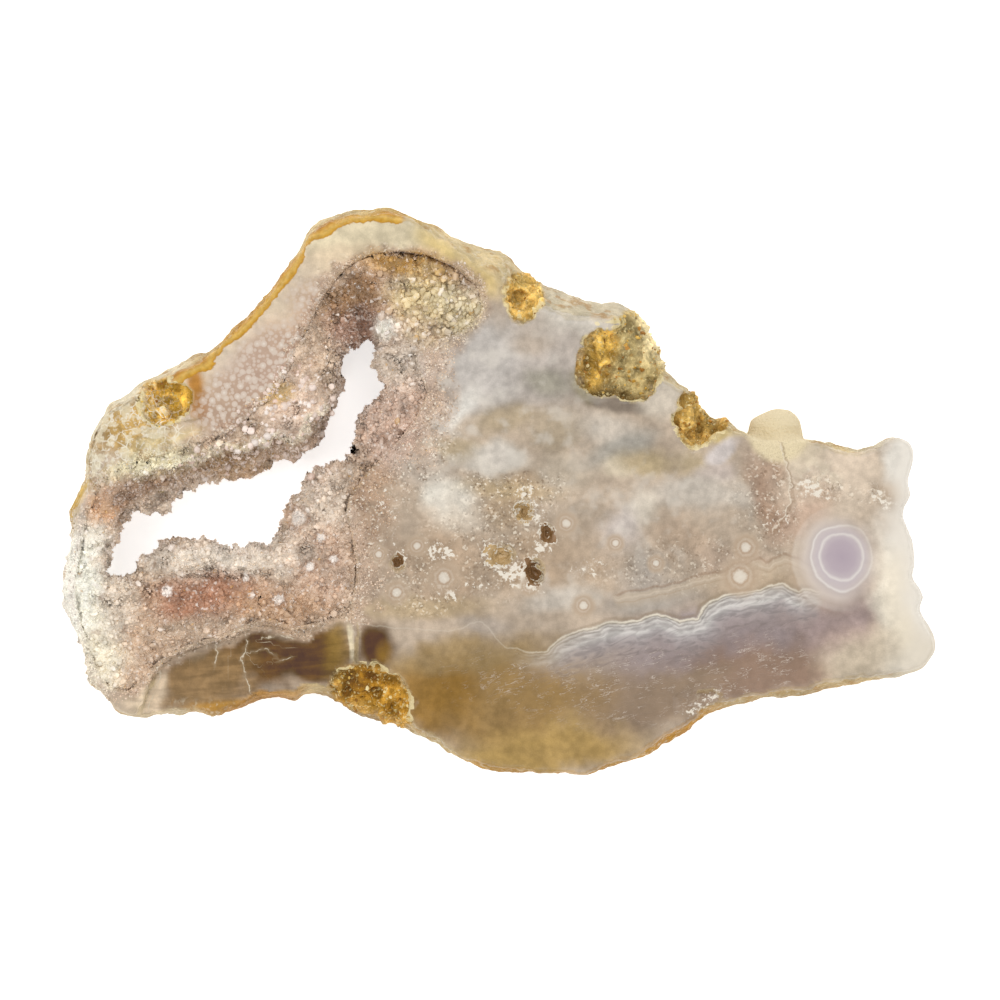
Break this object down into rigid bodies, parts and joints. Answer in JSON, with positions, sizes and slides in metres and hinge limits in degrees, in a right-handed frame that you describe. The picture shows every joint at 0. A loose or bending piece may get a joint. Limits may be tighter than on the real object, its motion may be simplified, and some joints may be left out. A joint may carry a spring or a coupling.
{
  "type": "flower agate slice",
  "caption": "Polished natural agate slab with a rough rind and a crystal-lined hollow that opens right through it; it lies flat on its sawn back.",
  "frame": {"origin": "on the sawn back's plane, below the middle of the outline's box", "axes": "+X along the slab's length, +Y across it, +Z out of the polished face"},
  "size_m": [0.1485, 0.0966, 0.014],
  "materials": {
    "agate": "polished face, sawn back, rough rind",
    "druzy_quartz": "sparkling crystal crust"
  },
  "bodies": {
    "root": {"agate_slab": "agate", "druzy_crust": "druzy_quartz"}
  },
  "joints": []
}
